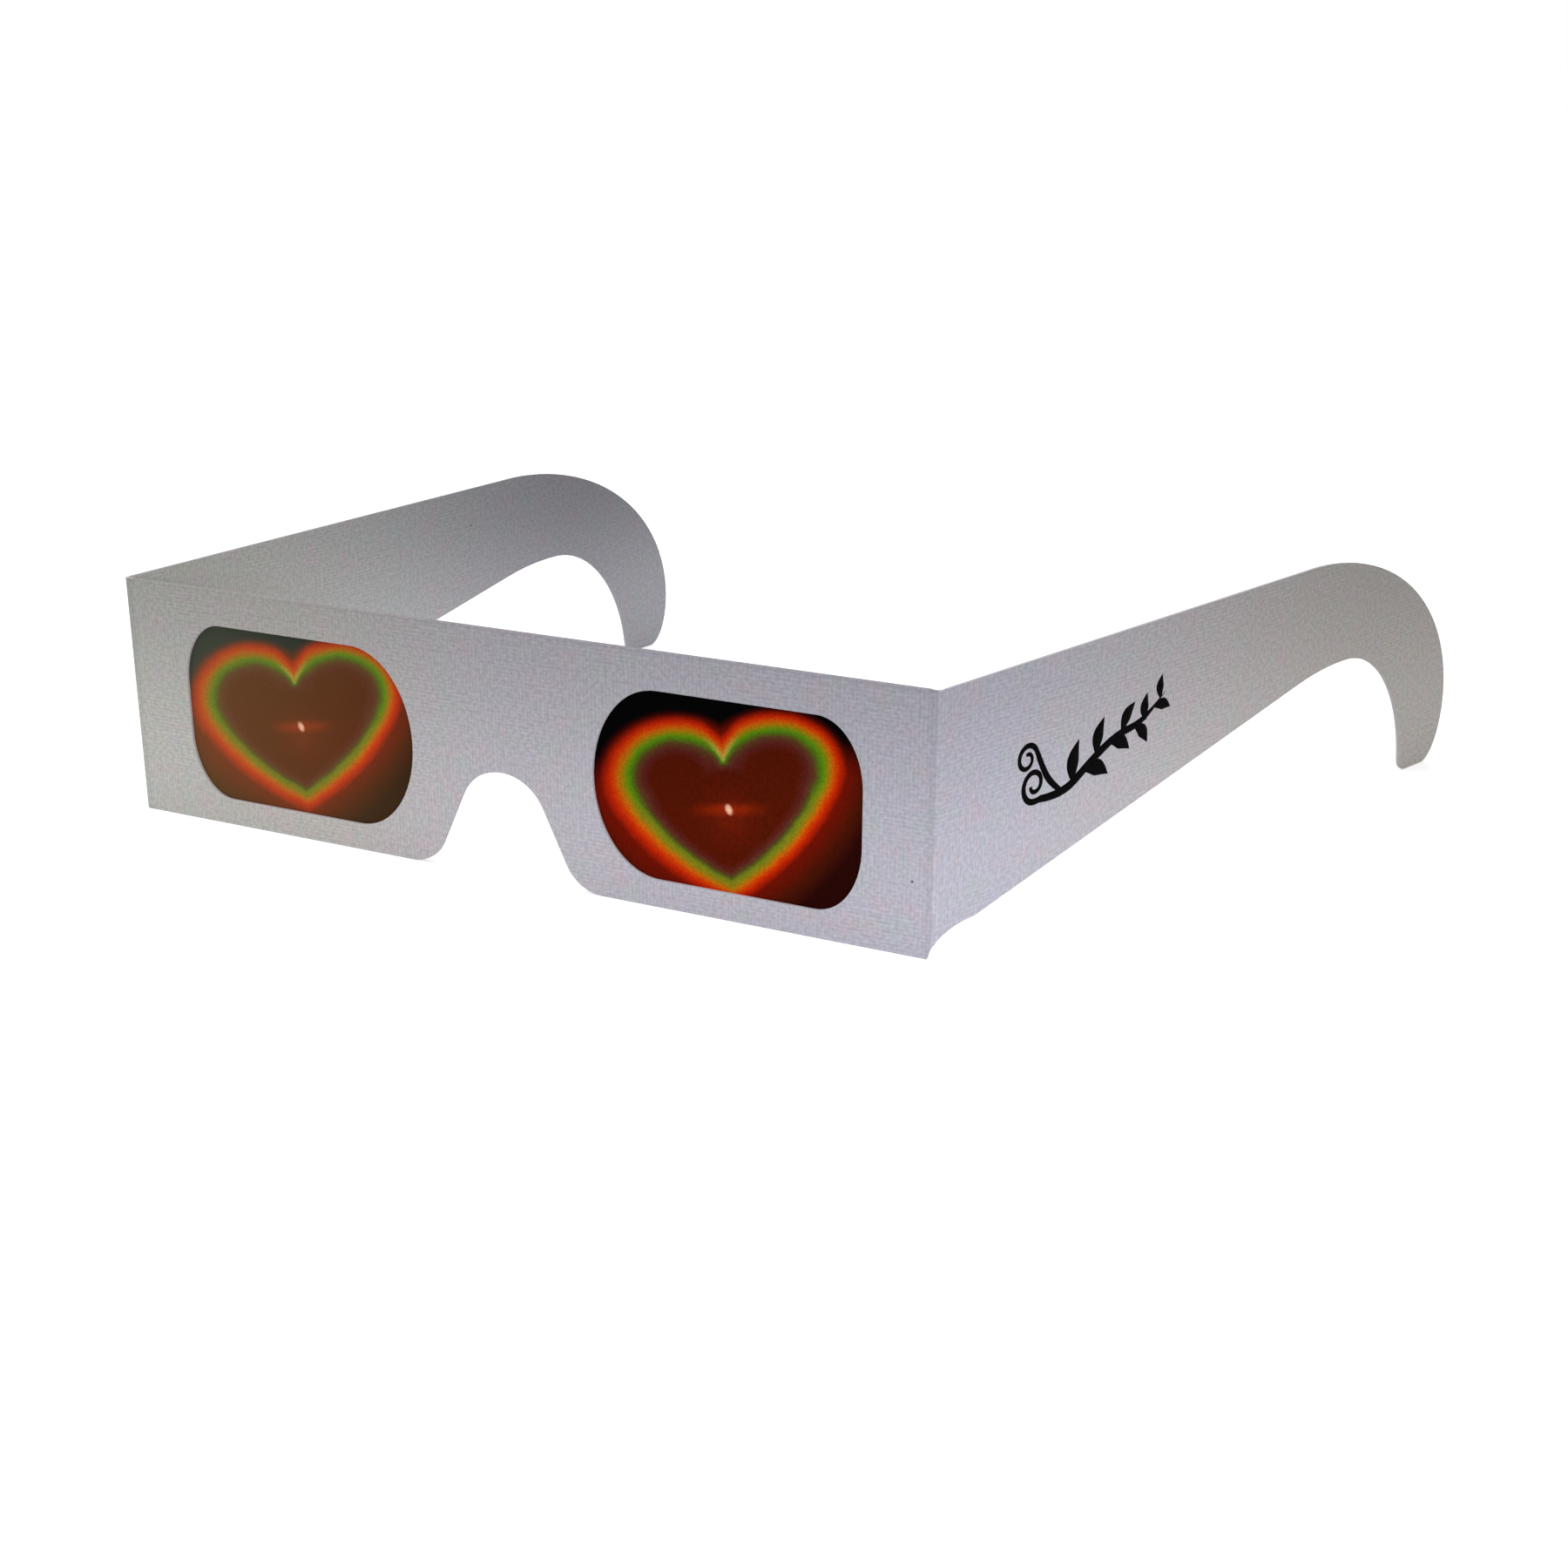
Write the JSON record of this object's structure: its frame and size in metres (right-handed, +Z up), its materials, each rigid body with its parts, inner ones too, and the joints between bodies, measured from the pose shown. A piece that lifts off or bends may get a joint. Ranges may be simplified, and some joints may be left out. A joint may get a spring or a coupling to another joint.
{
  "type": "diffraction glasses",
  "caption": "Folding paperboard glasses with a diffraction film behind each lens opening; the temples turn on scored creases and end in ear hooks.",
  "frame": {"origin": "under the middle of the nose notch, at the front's outer face, on the surface that the glasses stand on", "axes": "+X to the wearer's left along the front, +Y back along the temples, +Z up; rest is the pictured pose, left temple folded 69 degrees, right 101.6"},
  "size_m": [0.1831, 0.127, 0.0406],
  "materials": {
    "paperboard": "white coated paperboard with a fine linen grain, matt",
    "creased_paperboard": "the same board, scored and crushed along the crease",
    "diffraction_film": "clear polyester film embossed with a heart-shaped diffraction pattern, glossy",
    "dried_glue": "dried white dispersion glue"
  },
  "bodies": {
    "front": {"front_panel": "paperboard", "top_fold": "paperboard", "back_flap": "paperboard", "left_film": "diffraction_film", "right_film": "diffraction_film", "glue_layer": "dried_glue", "left_crease": "creased_paperboard", "right_crease": "creased_paperboard"},
    "left_temple": {"left_temple": "paperboard"},
    "right_temple": {"right_temple": "paperboard"}
  },
  "joints": [
    {"name": "left_temple_fold", "type": "hinge", "parent": "front", "child": "left_temple", "pos_m": [0.06772, 0.00077, 0], "axis": [0, 0, 1], "range_deg": [-69, 106.5]},
    {"name": "right_temple_fold", "type": "hinge", "parent": "front", "child": "right_temple", "pos_m": [-0.06772, 0.00077, 0], "axis": [0, 0, -1], "range_deg": [-101.6, 78.4]}
  ]
}
